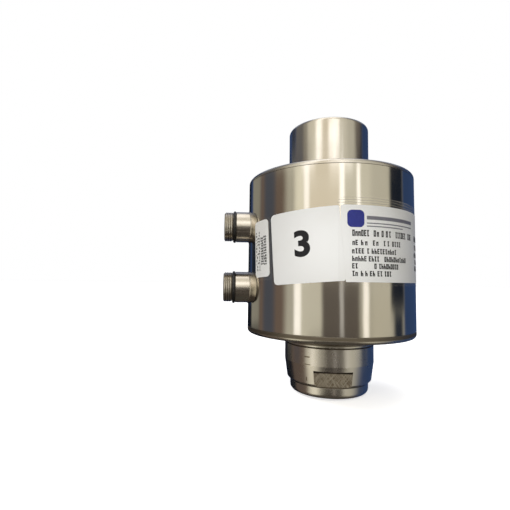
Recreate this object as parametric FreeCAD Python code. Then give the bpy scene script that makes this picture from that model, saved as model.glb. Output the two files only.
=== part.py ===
import FreeCAD, Part
import math
import os

# Digital compression load cell of the self-aligning column type. A turned steel column with crowned ends
# stands upright on its foot. A welded can of a tube and two covers seals the gauged middle and its circuit
# board, and two threaded round connectors leave the can one above the other.
# Millimetres. The origin is the middle of the crowned foot, on the floor, +Z runs up the column and the
# connectors point along -X. Azimuths are in degrees, from the connectors round to the labelled front at -Y.

# Column ends
crown_radius = 180.0          # both loading faces are parts of a sphere, larger than the cell is high
tip_radius = 21.4
tip_height = 6.6
tip_edge_radius = 2.5
relief_width = 0.6            # grinding relief between the tip and the cone
relief_depth = 0.5
cone_low_radius = 23.1
cone_edge = 0.9               # chamfer under the cone
cone_height = 9.6
foot_radius = 24.5
foot_band = 9.2               # cylindrical band of the foot, up to the weld with the lower cover
weld_groove = 0.35            # chamfer on each side of that weld
button_radius = 22.7
button_rise = 32.1            # from the upper cover to the crown
button_edge_radius = 2.0
contact_spot_radius = 6.0     # bedded-in flat spot at the middle of each crown
seat_radius = 23.0            # column inside the upper cover's bore, welded there

# Flats on the foot that keep the cell from turning in its cup
flat_count = 2
flat_low_distance = 21.0      # from the axis, since the flats lean out nearly as the cone does
flat_high_distance = 22.0
flat_height = 8.1
flat_turn = -8.8              # how far the flats are turned from square to the connectors

# Gauged middle of the column
core_radius = 20.6
core_clearance = 0.6          # between the column and the cover round it
core_top = 46.0
waist_radius = 18.0
waist_fillet = 3.0
waist_height = 52.0
facet_distance = 16.0         # from the axis to the four faces that carry the gauges
facet_height = 34.0

# Can
housing_radius = 46.1
housing_wall = 2.7
housing_height = 85.6         # over both covers
neck_height = 5.4             # lower cover's neck, between the foot and the can
cover_thickness = 3.5
upper_rim = 2.5
cover_edge_radius = 1.8
spigot_height = 2.5           # each cover reaches this far into the tube
spigot_width = 3.0
spigot_clearance = 0.1
diaphragm_inset = 2.4         # collar of full thickness that the cover keeps round the button
diaphragm_width = 6.3         # thinned ring of the upper cover
diaphragm_thickness = 1.2

# Connectors
connector_low = 24.7          # lower axis above the bottom of the can
connector_spacing = 34.2
barrel_radius = 8.6
barrel_reach = 14.0           # from the can to the connector's end
thread_radius = 8.4
thread_length = 4.9
thread_chamfer = 0.6
groove_width = 1.8
oring_section = 1.7
oring_seat_radius = 7.3
weld_leg = 0.4
hole_clearance = 0.1
shell_tail = 1.6              # barrel inside the tube's wall
shell_lip = 1.2               # inner lip that stops the insert
shell_lip_width = 1.0
mouth_radius = 6.6
mouth_depth = 5.0
insert_radius = 6.2           # a little under the mouth, so that the insert goes in from the front
contact_count = 5
contact_circle = 3.5
contact_radius = 0.8
contact_clearance = 0.02
socket_radius = 0.45
socket_depth = 5.0
contact_tail = 2.0            # solder cup behind the insert
key_hole_radius = 0.6

# Labels, each placed by how far round the can its left edge is from the connectors
label_thickness = 0.15
film_thickness = 0.08
label_corner = 2.2
number_label_start = 31.7
number_label_tilt = 4.4       # stuck on this many degrees out of square
number_label_width = 35.1
number_label_low = 27.5       # above the bottom of the can
number_label_height = 34.5
data_label_start = 66.4
data_label_width = 70.0
data_label_low = 28.3
data_label_height = 35.2
side_label_start = 16.7
side_label_tilt = 3.6
side_label_width = 12.4
side_label_low = 30.2
side_label_height = 29.1
film_margin = 1.7
film_rise = 3.6               # how far the large film stands above the data label
side_film_rise = 0.85

# Circuit board round the column
standoff_height = 6.0
standoff_across = 5.0
standoff_count = 3
standoff_turn = 80.0
screw_radius = 1.25
screw_length = 6.0
screw_head_radius = 2.3
screw_head_height = 1.6
slot_width = 0.6
screw_hole_clearance = 0.15
board_thickness = 1.6
board_gap = 1.6               # to the tube
board_bore = 24.6
block_height = 3.0
block_width = 2.6
block_pitch = 4.2             # between the two terminal blocks
block_inset = 5.0             # from the board's rim to the middle of the outer block
block_margin = 0.7            # past the outer leads at both ends
lead_radius = 0.45
lead_bend = 4.0

# Parts on the board, each at its azimuth
chip_lift = 0.15              # of the bodies above the board
chip_bevel = 0.12
leg_root = 0.1                # inside the body
leg_reach = 1.0
leg_thickness = 0.15
leg_share = 0.4               # of the pitch
converter = {"width": 4.4, "length": 7.8, "height": 1.1, "legs_per_side": 12, "leg_pitch": 0.65}
converter_turn = 80.0
processor = {"width": 10.0, "length": 10.0, "height": 1.4, "legs_per_side": 11, "leg_pitch": 0.8}
processor_turn = 110.0
transceiver = {"width": 3.9, "length": 4.9, "height": 1.5, "legs_per_side": 4, "leg_pitch": 1.27}
transceiver_turn = 45.0
crystal_width = 3.8
crystal_length = 10.2
crystal_height = 3.6
crystal_flange = 0.5
crystal_base = 0.6
crystal_flat = 0.1            # left at the middle of each round end
crystal_turn = 168.0
capacitor_radius = 3.1
capacitor_height = 5.6
capacitor_base_side = 6.6
capacitor_base_height = 1.0
capacitor_edge_radius = 0.4
capacitor_turns = (-45.0, -62.0, -80.0)
resistor_width = 2.0
resistor_length = 1.25
resistor_height = 0.5
resistor_count = 6
resistor_turn = 205.0
resistor_turn_step = 5.0

# Gauges and their wiring
gauge_width = 11.0
gauge_height = 18.0
backing_thickness = 0.2
foil_thickness = 0.12
grid_lines = 7
grid_pitch = 0.8
grid_line_width = 0.4
grid_length = 5.6
grid_gap = 2.4
tab_size = 1.5
strip_height = 4.0
strip_thickness = 0.6
strip_gap = 1.0
pad_count = 4
pad_size = 1.6
pad_thickness = 0.2
pad_margin = 0.4              # to the strip's long edges
wire_radius = 0.7
wire_bend = 5.0
wire_landing = 1.2            # from the board's bore to where a wire meets it

# Heights and radii that follow from the sizes above
cone_low = tip_height + relief_width + cone_edge
cone_top = cone_low + cone_height
foot_top = cone_top + foot_band
housing_bottom = foot_top + neck_height
housing_top = housing_bottom + housing_height
tube_bottom = housing_bottom + cover_thickness
tube_top = housing_top - upper_rim
total_height = housing_top + button_rise
crown_loss = crown_radius - math.sqrt(crown_radius ** 2 - contact_spot_radius ** 2)
cover_bore = core_radius + core_clearance
tube_bore = housing_radius - housing_wall
spigot_radius = tube_bore - spigot_clearance
waist_bottom = core_top
waist_top = waist_bottom + waist_height
waist_middle = (waist_bottom + waist_top) / 2
connector_heights = {
    "lower": housing_bottom + connector_low,
    "upper": housing_bottom + connector_low + connector_spacing,
}
connector_end = housing_radius + barrel_reach
groove_outer = connector_end - thread_length
groove_inner = groove_outer - groove_width
insert_front = connector_end - mouth_depth
shell_back = tube_bore - shell_tail
insert_back = shell_back + shell_lip
contact_back = insert_back - contact_tail
label_face = housing_radius + label_thickness
film_face = label_face + film_thickness
board_bottom = tube_bottom + standoff_height
board_top = board_bottom + board_thickness
board_rim = tube_bore - board_gap
standoff_circle = (board_bore + board_rim) / 2
block_top = board_top + block_height
block_middles = {
    "lower": board_rim - block_inset,
    "upper": board_rim - block_inset - block_pitch,
}
gauge_face = facet_distance + backing_thickness
foil_face = gauge_face + foil_thickness
strip_face = facet_distance + strip_thickness
gauge_low = waist_middle - gauge_height / 2
strip_low = gauge_low - strip_gap - strip_height
sides = {"left": 180.0, "front": 270.0, "right": 0.0, "rear": 90.0}

ORIGIN = FreeCAD.Vector(0, 0, 0)
UP = FreeCAD.Vector(0, 0, 1)


def disc(radius, bottom, top):
    return Part.makeCylinder(radius, top - bottom, FreeCAD.Vector(0, 0, bottom))


def cone(low_radius, high_radius, bottom, top):
    return Part.makeCone(low_radius, high_radius, top - bottom, FreeCAD.Vector(0, 0, bottom))


def ring(outer, inner, bottom, top):
    return disc(outer, bottom, top).cut(disc(inner, bottom, top))


def block(x_low, x_high, y_low, y_high, z_low, z_high):
    corner = FreeCAD.Vector(x_low, y_low, z_low)
    return Part.makeBox(x_high - x_low, y_high - y_low, z_high - z_low, corner)


def turned(shape, angle):
    copy = shape.copy()
    copy.rotate(ORIGIN, UP, angle)
    return copy


def moved(shape, x, y, z):
    copy = shape.copy()
    copy.translate(FreeCAD.Vector(x, y, z))
    return copy


def joined(shapes):
    return shapes[0].multiFuse(shapes[1:]).removeSplitter()


def round_rim(shape, radius, rim_radius, height):
    """Rounds the circular edges of one radius that lie at one height."""
    rims = []
    for edge in shape.Edges:
        if edge.Degenerated or not isinstance(edge.Curve, Part.Circle):
            continue
        same_radius = abs(edge.Curve.Radius - rim_radius) < 0.001
        same_height = abs(edge.Curve.Center.z - height) < 0.001
        if same_radius and same_height:
            rims.append(edge)
    return shape.makeFillet(radius, rims)


def level_edges(shape, height):
    return [edge for edge in shape.Edges if all(abs(vertex.Z - height) < 0.001 for vertex in edge.Vertexes)]


def crown_height(radius):
    """Height, from the crown's flat spot, at which the crown has this radius."""
    return crown_radius - math.sqrt(crown_radius ** 2 - radius ** 2) - crown_loss


def save(node, shape):
    shape.exportStep("parts/" + node + ".step")


# Load column

def column_blank():
    """The turned shape, with flat ends that are crowned afterwards."""
    relief_top = tip_height + relief_width
    weld_height = foot_top - weld_groove
    sections = [
        disc(tip_radius, 0, tip_height),
        disc(tip_radius - relief_depth, tip_height, relief_top),
        cone(cone_low_radius - cone_edge, cone_low_radius, relief_top, cone_low),
        cone(cone_low_radius, foot_radius, cone_low, cone_top),
        disc(foot_radius, cone_top, weld_height),
        cone(foot_radius, foot_radius - weld_groove, weld_height, foot_top),
        disc(core_radius, foot_top, waist_bottom),
        disc(waist_radius, waist_bottom, waist_top),
        disc(seat_radius, waist_top, housing_top),
        disc(button_radius, housing_top, total_height),
    ]
    return joined(sections)


def foot_flat_cutter():
    """What the mill takes off for the flat on the +X side."""
    low, reach = tip_height + relief_width, 2 * foot_radius
    high = low + flat_height
    profile = [
        (flat_low_distance, low), (flat_high_distance, high), (reach, high), (reach, low),
        (flat_low_distance, low),
    ]
    outline = Part.makePolygon([FreeCAD.Vector(x, -reach, z) for x, z in profile])
    return Part.Face(outline).extrude(FreeCAD.Vector(0, 2 * reach, 0))


def load_column():
    column = column_blank()
    for step_radius, height in ((seat_radius, waist_top), (core_radius, waist_bottom)):
        fillet = min(waist_fillet, 0.9 * (step_radius - waist_radius))
        column = round_rim(column, fillet, waist_radius, height)
    middle = crown_radius - crown_loss
    foot_sphere = Part.makeSphere(crown_radius, FreeCAD.Vector(0, 0, middle))
    button_sphere = Part.makeSphere(crown_radius, FreeCAD.Vector(0, 0, total_height - middle))
    column = column.common(foot_sphere).common(button_sphere)
    column = round_rim(column, tip_edge_radius, tip_radius, crown_height(tip_radius))
    button_edge = total_height - crown_height(button_radius)
    column = round_rim(column, button_edge_radius, button_radius, button_edge)
    for index in range(flat_count):
        azimuth = 90.0 + flat_turn + index * 360.0 / flat_count
        column = column.cut(turned(foot_flat_cutter(), 180.0 + azimuth))
    facet_low = waist_middle - facet_height / 2
    reach = 2 * foot_radius
    facet_cutter = block(facet_distance, reach, -reach, reach, facet_low, facet_low + facet_height)
    for angle in sides.values():
        column = column.cut(turned(facet_cutter, angle))
    return column


# Can

def lower_cover():
    """Turned cover whose neck is welded to the foot and whose rim is welded to the tube."""
    cover = joined([
        cone(foot_radius - weld_groove, foot_radius, foot_top, foot_top + weld_groove),
        disc(foot_radius, foot_top + weld_groove, housing_bottom),
        disc(housing_radius, housing_bottom, tube_bottom),
        disc(spigot_radius, tube_bottom, tube_bottom + spigot_height),
    ])
    cover = round_rim(cover, cover_edge_radius, housing_radius, housing_bottom)
    well = disc(spigot_radius - spigot_width, tube_bottom, tube_bottom + spigot_height)
    return cover.cut(well).cut(disc(cover_bore, foot_top, tube_bottom))


def upper_cover():
    """Flat cover with a thinned ring that lets the button settle under load."""
    cover = disc(housing_radius, tube_top, housing_top)
    cover = round_rim(cover, cover_edge_radius, housing_radius, housing_top)
    cover = cover.fuse(disc(spigot_radius, tube_top - spigot_height, tube_top)).removeSplitter()
    cover = cover.cut(disc(spigot_radius - spigot_width, tube_top - spigot_height, tube_top))
    groove_low = tube_top + diaphragm_thickness
    collar_radius = seat_radius + diaphragm_inset
    cover = cover.cut(ring(collar_radius + diaphragm_width, collar_radius, groove_low, housing_top))
    return cover.cut(disc(seat_radius, tube_top, housing_top))


def housing_tube():
    tube = ring(housing_radius, tube_bore, tube_bottom, tube_top)
    for height in connector_heights.values():
        tube = tube.cut(laid(disc(barrel_radius + hole_clearance, 0, housing_radius + housing_wall), height))
    return tube


# Connectors, drawn standing on the column's axis and then laid along -X

def laid(shape, height):
    copy = shape.copy()
    copy.rotate(ORIGIN, FreeCAD.Vector(0, 1, 0), -90)
    return moved(copy, 0, 0, height)


def connector_shell(height):
    barrel = joined([
        disc(barrel_radius, shell_back, groove_inner),
        disc(oring_seat_radius, groove_inner, groove_outer),
        disc(thread_radius, groove_outer, connector_end - thread_chamfer),
        cone(thread_radius, thread_radius - thread_chamfer, connector_end - thread_chamfer, connector_end),
    ])
    barrel = barrel.cut(disc(mouth_radius, insert_front, connector_end))
    barrel = barrel.cut(disc(insert_radius, insert_back, insert_front))
    barrel = barrel.cut(disc(insert_radius - shell_lip_width, shell_back, insert_back))
    bead_blank = laid(ring(barrel_radius + weld_leg, barrel_radius, 0, connector_end), height)
    skin = ring(housing_radius + weld_leg, housing_radius, housing_bottom, housing_top)
    return laid(barrel, height).fuse(bead_blank.common(skin)).removeSplitter()


def contact_places():
    for index in range(contact_count):
        angle = math.radians(index * 360.0 / contact_count)
        yield contact_circle * math.cos(angle), contact_circle * math.sin(angle)


def contact_insert(height):
    insert = disc(insert_radius, insert_back, insert_front)
    hole = disc(contact_radius + contact_clearance, insert_back, insert_front)
    for x, y in contact_places():
        insert = insert.cut(moved(hole, x, y, 0))
    insert = insert.cut(disc(key_hole_radius, insert_front - socket_depth, insert_front))
    return laid(insert, height)


def contacts(height):
    pin = disc(contact_radius, contact_back, insert_front)
    pin = pin.cut(disc(socket_radius, insert_front - socket_depth, insert_front))
    return Part.makeCompound([laid(moved(pin, x, y, 0), height) for x, y in contact_places()])


def oring(height):
    middle = (groove_inner + groove_outer) / 2
    seat = oring_seat_radius + oring_section / 2
    return laid(Part.makeTorus(seat, oring_section / 2, FreeCAD.Vector(0, 0, middle)), height)


# Labels and their clear films, cut from a thin sleeve round the can

def sleeve_patch(start, width, low, height, outer, tilt):
    """Part of a sleeve on the can with rounded corners: start and width are measured round the can."""
    half_chord = outer * math.sin(width / housing_radius / 2)
    outline = block(0, 2 * outer, -half_chord, half_chord, low, low + height)
    corners = []
    for edge in outline.Edges:
        ends = [vertex.Point for vertex in edge.Vertexes]
        if abs(ends[0].x - ends[1].x) > outer:
            corners.append(edge)
    outline = outline.makeFillet(label_corner, corners)
    outline.rotate(FreeCAD.Vector(0, 0, low + height / 2), FreeCAD.Vector(1, 0, 0), tilt)
    sleeve = ring(outer, housing_radius, housing_bottom, housing_top)
    azimuth = math.degrees((start + width / 2) / housing_radius)
    return sleeve.common(turned(outline, 180.0 + azimuth))


def label(start, width, low, height, tilt=0.0):
    return sleeve_patch(start, width, housing_bottom + low, height, label_face, tilt)


def film(start, width, low, height, covered, tilt=0.0):
    """Clear film that lies on the labels under it and on the steel round them."""
    patch = sleeve_patch(start, width, housing_bottom + low, height, film_face, tilt)
    for piece in covered:
        patch = patch.cut(piece)
    return patch


# Circuit board

def standoff_places():
    for index in range(standoff_count):
        yield math.radians(standoff_turn + index * 360.0 / standoff_count)


def hexagon(across, bottom, top):
    corner_radius = across / math.sqrt(3)
    points = []
    for index in range(7):
        angle = math.radians(60.0 * index)
        x, y = corner_radius * math.cos(angle), corner_radius * math.sin(angle)
        points.append(FreeCAD.Vector(x, y, bottom))
    face = Part.Face(Part.makePolygon(points))
    return face.extrude(FreeCAD.Vector(0, 0, top - bottom))


def on_standoffs(shape):
    pieces = []
    for angle in standoff_places():
        pieces.append(moved(shape, standoff_circle * math.cos(angle), standoff_circle * math.sin(angle), 0))
    return Part.makeCompound(pieces)


def board_standoffs():
    post = hexagon(standoff_across, tube_bottom, board_bottom)
    hole_bottom = board_top - screw_length
    return on_standoffs(post.cut(disc(screw_radius, hole_bottom, board_bottom)))


def board_screws():
    head_top = board_top + screw_head_height
    shank = disc(screw_radius, board_top - screw_length, board_top)
    head = disc(screw_head_radius, board_top, head_top)
    head = round_rim(head, screw_head_height / 2, screw_head_radius, head_top)
    reach = screw_head_radius
    slot = block(-reach, reach, -slot_width / 2, slot_width / 2, head_top - screw_head_height / 2, head_top)
    return on_standoffs(shank.fuse(head).removeSplitter().cut(slot))


def circuit_board():
    board = ring(board_rim, board_bore, board_bottom, board_top)
    for hole in on_standoffs(disc(screw_radius + screw_hole_clearance, board_bottom, board_top)).Solids:
        board = board.cut(hole)
    return board


def on_board(shape, azimuth):
    """Stands a shape, drawn at the middle of the board's width along +X, at one azimuth."""
    return turned(moved(shape, standoff_circle, 0, board_top), 180.0 + azimuth)


def chip(width, length, height, legs_per_side, leg_pitch, leg_sides=(0, 180)):
    """Chip body with its bent legs, width along X."""
    knee = height / 2
    half_leg = leg_share * leg_pitch / 2
    body = block(-width / 2, width / 2, -length / 2, length / 2, chip_lift, height)
    pieces = [body.makeChamfer(chip_bevel, level_edges(body, height))]
    for side in leg_sides:
        root = (width if side in (0, 180) else length) / 2
        bend = root + leg_reach / 2
        for index in range(legs_per_side):
            middle = (index - (legs_per_side - 1) / 2) * leg_pitch
            low, high = middle - half_leg, middle + half_leg
            shoulder = block(root - leg_root, bend, low, high, knee - leg_thickness, knee)
            drop = block(bend - leg_thickness, bend, low, high, 0, knee)
            foot = block(bend - leg_thickness, root + leg_reach, low, high, 0, leg_thickness)
            pieces.extend(turned(piece, side) for piece in (shoulder, drop, foot))
    return joined(pieces)


def crystal():
    """Drawn can with round ends on its flanged base."""
    half_width, half_length = crystal_width / 2, crystal_length / 2
    base_width, base_length = half_width + crystal_flange, half_length + crystal_flange
    base = block(-base_width, base_width, -base_length, base_length, 0, crystal_base)
    can = block(-half_width, half_width, -half_length, half_length, crystal_base, crystal_height)
    upright = [edge for edge in can.Edges if abs(edge.Vertexes[0].Z - edge.Vertexes[1].Z) > 0.001]
    can = can.makeFillet(half_width - crystal_flat / 2, upright)
    return on_board(base.fuse(can).removeSplitter(), crystal_turn)


def capacitors():
    """Electrolytic cans on their square bases."""
    half = capacitor_base_side / 2
    base = block(-half, half, -half, half, 0, capacitor_base_height)
    can = disc(capacitor_radius, capacitor_base_height, capacitor_height)
    can = round_rim(can, capacitor_edge_radius, capacitor_radius, capacitor_height)
    capacitor = base.fuse(can).removeSplitter()
    return Part.makeCompound([on_board(capacitor, azimuth) for azimuth in capacitor_turns])


def trim_resistors():
    """Row of chip resistors that trim the bridge's zero and span."""
    half_width, half_length = resistor_width / 2, resistor_length / 2
    resistor = block(-half_width, half_width, -half_length, half_length, 0, resistor_height)
    azimuths = [resistor_turn + index * resistor_turn_step for index in range(resistor_count)]
    return Part.makeCompound([on_board(resistor, azimuth) for azimuth in azimuths])


def terminal_block(which):
    half_length = contact_circle + contact_radius + block_margin
    middle = -block_middles[which]
    half_width = block_width / 2
    return block(middle - half_width, middle + half_width, -half_length, half_length, board_top, block_top)


# Wires

def bent_wire(start, corner, end, radius, bend):
    """Round wire along two straight runs, with one arc tangent to both."""
    back = (start - corner).normalize()
    ahead = (end - corner).normalize()
    arc_start = corner + back * bend
    arc_end = corner + ahead * bend
    centre = corner + back * bend + ahead * bend
    arc_middle = centre + (corner - centre).normalize() * bend
    path = Part.Wire([
        Part.LineSegment(start, arc_start).toShape(),
        Part.Arc(arc_start, arc_middle, arc_end).toShape(),
        Part.LineSegment(arc_end, end).toShape(),
    ])
    section = Part.Wire([Part.makeCircle(radius, start, back)])
    return path.makePipeShell([section], True, False)


def connector_leads(which):
    """One lead from each contact, inwards and then down to the terminal block."""
    height = connector_heights[which]
    drop = -block_middles[which]
    leads = []
    for up, across in contact_places():
        start = FreeCAD.Vector(-contact_back, across, height + up)
        corner = FreeCAD.Vector(drop, across, height + up)
        end = FreeCAD.Vector(drop, across, block_top)
        bend = min(lead_bend, 0.6 * (contact_back - block_middles[which]))
        leads.append(bent_wire(start, corner, end, lead_radius, bend))
    return Part.makeCompound(leads)


def bridge_wires():
    """One sheathed wire from each terminal strip out and down to the board."""
    height = strip_low + strip_height / 2
    landing = board_bore + wire_landing
    start = FreeCAD.Vector(strip_face, 0, height)
    corner = FreeCAD.Vector(landing, 0, height)
    wire = bent_wire(start, corner, FreeCAD.Vector(landing, 0, board_top), wire_radius, wire_bend)
    return Part.makeCompound([turned(wire, angle) for angle in sides.values()])


# Gauges, drawn on the +X face of the waist

def foil_grid(upright, middle):
    """Meander of one gauge grid with its two solder tabs."""
    low, high = gauge_face, foil_face
    half = grid_line_width / 2
    pieces = []
    for index in range(grid_lines):
        across = (index - (grid_lines - 1) / 2) * grid_pitch
        pieces.append((across - half, across + half, -grid_length / 2, grid_length / 2))
        if index < grid_lines - 1:
            end = grid_length / 2 if index % 2 == 0 else -grid_length / 2
            pieces.append((across - half, across + grid_pitch + half, end - half, end + half))
    outer = (grid_lines - 1) / 2 * grid_pitch
    for side in (-1, 1):
        foot = -grid_length / 2
        inner_edge, outer_edge = sorted((side * (outer - half), side * (outer + tab_size - half)))
        pieces.append((inner_edge, outer_edge, foot - tab_size / 2, foot + half))
    shapes = []
    for across_low, across_high, along_low, along_high in pieces:
        if upright:
            shapes.append(block(low, high, across_low, across_high, middle + along_low, middle + along_high))
        else:
            shapes.append(block(low, high, along_low, along_high, middle + across_low, middle + across_high))
    return joined(shapes)


def strain_gauge(angle):
    """Two grids at right angles on one backing."""
    half_width = gauge_width / 2
    backing = block(facet_distance, gauge_face, -half_width, half_width, gauge_low, gauge_low + gauge_height)
    offset = (grid_length + grid_gap) / 2
    grids = [foil_grid(True, waist_middle + offset), foil_grid(False, waist_middle - offset)]
    return turned(joined([backing] + grids), angle)


def terminal_strip(angle):
    """Bonded strip with a row of solder pads between the foil and the sheathed wire."""
    pad_back = strip_face - pad_thickness
    half_width = gauge_width / 2
    strip_high = strip_low + strip_height
    strip = block(facet_distance, pad_back, -half_width, half_width, strip_low, strip_high)
    pad_low, pad_high = strip_low + pad_margin, strip_high - pad_margin
    pads = []
    for index in range(pad_count):
        left = (index - (pad_count - 1) / 2) * gauge_width / pad_count - pad_size / 2
        pads.append(block(pad_back, strip_face, left, left + pad_size, pad_low, pad_high))
    return turned(joined([strip] + pads), angle)


os.makedirs("parts", exist_ok=True)

save("load_column", load_column())
save("lower_cover", lower_cover())
save("housing_tube", housing_tube())
save("upper_cover", upper_cover())

for which, height in connector_heights.items():
    save(which + "_connector_shell", connector_shell(height))
    save(which + "_contact_insert", contact_insert(height))
    save(which + "_contacts", contacts(height))
    save(which + "_oring", oring(height))
    save(which + "_terminal_block", terminal_block(which))
    save(which + "_connector_leads", connector_leads(which))

number_label = label(
    number_label_start, number_label_width, number_label_low, number_label_height, number_label_tilt)
data_label = label(data_label_start, data_label_width, data_label_low, data_label_height).cut(number_label)
side_label = label(side_label_start, side_label_width, side_label_low, side_label_height, side_label_tilt)
save("number_label", number_label)
save("data_label", data_label)
save("side_label", side_label)
save("data_film", film(
    data_label_start - film_margin, data_label_width + 2 * film_margin,
    data_label_low - film_margin, data_label_height + film_margin + film_rise, [number_label, data_label]))
save("side_film", film(
    side_label_start, side_label_width + film_margin,
    side_label_low - film_margin, side_label_height + film_margin + side_film_rise, [side_label],
    side_label_tilt))

save("circuit_board", circuit_board())
save("board_standoffs", board_standoffs())
save("board_screws", board_screws())
save("converter_chip", on_board(chip(**converter), converter_turn))
save("processor_chip", on_board(chip(**processor, leg_sides=(0, 90, 180, 270)), processor_turn))
save("transceiver_chip", on_board(chip(**transceiver), transceiver_turn))
save("crystal", crystal())
save("capacitors", capacitors())
save("trim_resistors", trim_resistors())
save("bridge_wires", bridge_wires())

for side, angle in sides.items():
    save("strain_gauge_" + side, strain_gauge(angle))
    save("terminal_strip_" + side, terminal_strip(angle))
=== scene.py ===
import bmesh
import bpy
import math
from mathutils import Matrix, Vector


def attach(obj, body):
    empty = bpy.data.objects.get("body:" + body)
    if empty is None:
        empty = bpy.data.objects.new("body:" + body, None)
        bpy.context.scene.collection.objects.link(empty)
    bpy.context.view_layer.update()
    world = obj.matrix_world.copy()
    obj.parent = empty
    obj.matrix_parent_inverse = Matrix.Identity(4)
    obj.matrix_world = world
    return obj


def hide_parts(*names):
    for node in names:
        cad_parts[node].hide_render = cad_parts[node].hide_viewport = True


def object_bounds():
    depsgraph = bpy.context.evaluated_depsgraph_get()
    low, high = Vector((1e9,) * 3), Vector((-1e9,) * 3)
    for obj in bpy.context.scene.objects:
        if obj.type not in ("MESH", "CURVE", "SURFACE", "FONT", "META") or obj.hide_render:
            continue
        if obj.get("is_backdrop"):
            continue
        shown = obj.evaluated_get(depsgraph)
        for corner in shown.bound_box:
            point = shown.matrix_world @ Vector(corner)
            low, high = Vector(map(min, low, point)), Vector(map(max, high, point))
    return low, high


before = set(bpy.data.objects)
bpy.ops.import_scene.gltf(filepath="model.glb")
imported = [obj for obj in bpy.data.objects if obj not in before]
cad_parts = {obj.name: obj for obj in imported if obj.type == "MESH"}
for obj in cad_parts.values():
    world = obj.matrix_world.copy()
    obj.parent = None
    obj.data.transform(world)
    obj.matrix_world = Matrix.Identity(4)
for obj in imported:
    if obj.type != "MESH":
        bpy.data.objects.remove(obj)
cad_low, cad_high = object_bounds()

# Camera and floor. The cell stands on a plain pale floor, and the camera looks at it level from close by,
# as in the photograph, so that its ends are seen at a slant. Sizes in this file are millimetres times mm.
mm = 0.001

camera_place = Vector((-54.87, -205.47, 59.98)) * mm
camera_yaw = math.radians(-3.45)
camera_pitch = math.radians(4.29)
camera_roll = math.radians(-0.80)
frame_pixels = 510
focal_pixels = 360.74
sensor = 36.0

camera = bpy.data.objects.new("camera", bpy.data.cameras.new("camera"))
camera.data.sensor_width = sensor
camera.data.lens = focal_pixels / frame_pixels * sensor
camera.data.clip_start = 5 * mm
camera.data.clip_end = 50.0
looking_ahead = Matrix.Rotation(math.radians(90), 4, "X")
turn = Matrix.Rotation(camera_yaw, 4, "Z")
tilt = Matrix.Rotation(camera_pitch, 4, "X")
lean = Matrix.Rotation(camera_roll, 4, "Y")
camera.matrix_world = Matrix.Translation(camera_place) @ turn @ tilt @ lean @ looking_ahead
bpy.context.scene.collection.objects.link(camera)
bpy.context.scene.camera = camera
bpy.context.scene.view_settings.view_transform = "Standard"

floor_radius = 8.0
floor_segments = 96
floor_white = (0.86, 0.86, 0.87, 1.0)
floor_glow = 0.72


def add(tree, kind, inputs=None, **settings):
    """Adds a node to a tree. An input is a value or another node's output."""
    node = tree.nodes.new(kind)
    for name, value in settings.items():
        setattr(node, name, value)
    for name, value in (inputs or {}).items():
        if isinstance(value, bpy.types.NodeSocket):
            tree.links.new(value, node.inputs[name])
        else:
            node.inputs[name].default_value = value
    return node


def new_material(name, values=None):
    """New material, its node tree and its shader, whose inputs get the values."""
    material = bpy.data.materials.new(name)
    material.use_nodes = True
    shader = material.node_tree.nodes["Principled BSDF"]
    for socket, value in (values or {}).items():
        shader.inputs[socket].default_value = value
    return material, material.node_tree, shader


def settle(piece, *materials):
    """Puts a new mesh object in the scene with its materials."""
    bpy.context.scene.collection.objects.link(piece)
    for material in materials:
        piece.data.materials.append(material)
    return piece


floor_mesh = bmesh.new()
bmesh.ops.create_circle(floor_mesh, cap_ends=True, segments=floor_segments, radius=floor_radius)
floor_data = bpy.data.meshes.new("floor")
floor_mesh.to_mesh(floor_data)
floor_mesh.free()
floor_paint = new_material("floor_paint", {
    "Base Color": floor_white,
    "Roughness": 0.9,
    "Specular IOR Level": 0.1,
    "Emission Color": floor_white,
    "Emission Strength": floor_glow,
})[0]
floor = settle(bpy.data.objects.new("floor", floor_data), floor_paint)
floor.visible_glossy = False
floor.visible_diffuse = False
floor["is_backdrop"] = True

# Studio light. The steel shows what stands round it: a pale room, light boxes in front of it, dark screens
# between them and a blue-black cloth behind. The screens are soft-edged parts of the world's light, in
# storeys: the button, the upper half of the can, its lower half and the foot each see one of them.
backdrop_white = (1.0, 1.0, 1.0, 1.0)
room_beige = (0.79, 0.765, 0.645, 1.0)
cream = (1.0, 0.92, 0.76, 1.0)
paper_white = (1.0, 0.98, 0.94, 1.0)
umber = (1.0, 0.87, 0.76, 1.0)
walnut = (0.64, 0.48, 0.39, 1.0)
slate = (0.58, 0.64, 0.82, 1.0)
navy = (0.21, 0.40, 1.0, 1.0)
coal = (0.25, 0.35, 0.6, 1.0)

world = bpy.data.worlds.new("studio")
bpy.context.scene.world = world
world.use_nodes = True
studio = world.node_tree
studio.nodes.clear()


def computed(tree, operation, *values):
    """Result of a Math node on values and sockets."""
    return add(tree, "ShaderNodeMath", dict(enumerate(values)), operation=operation).outputs["Value"]


def vector(tree, operation, *values, result="Vector"):
    """Result of a Vector Math node on values and sockets."""
    return add(tree, "ShaderNodeVectorMath", dict(enumerate(values)), operation=operation).outputs[result]


def light_colour(colour, strength):
    """A colour made stronger or weaker, for light."""
    return tuple(channel * strength for channel in colour[:3]) + (1.0,)


def ramp(tree, value, start, end):
    """A smooth step of a value from 0 at start to 1 at end."""
    step = add(tree, "ShaderNodeMapRange", {"Value": value, "From Min": start, "From Max": end},
               interpolation_type="SMOOTHSTEP")
    return step.outputs["Result"]


def mixed(tree, share, first, second):
    """Colour that goes from first to second with share."""
    mix = add(tree, "ShaderNodeMix", {"Factor": share}, data_type="RGBA")
    for name, value in (("A_Color", first), ("B_Color", second)):
        socket = [one for one in mix.inputs if one.identifier == name][0]
        if isinstance(value, bpy.types.NodeSocket):
            tree.links.new(value, socket)
        else:
            socket.default_value = value
    return [one for one in mix.outputs if one.identifier == "Result_Color"][0]


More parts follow.
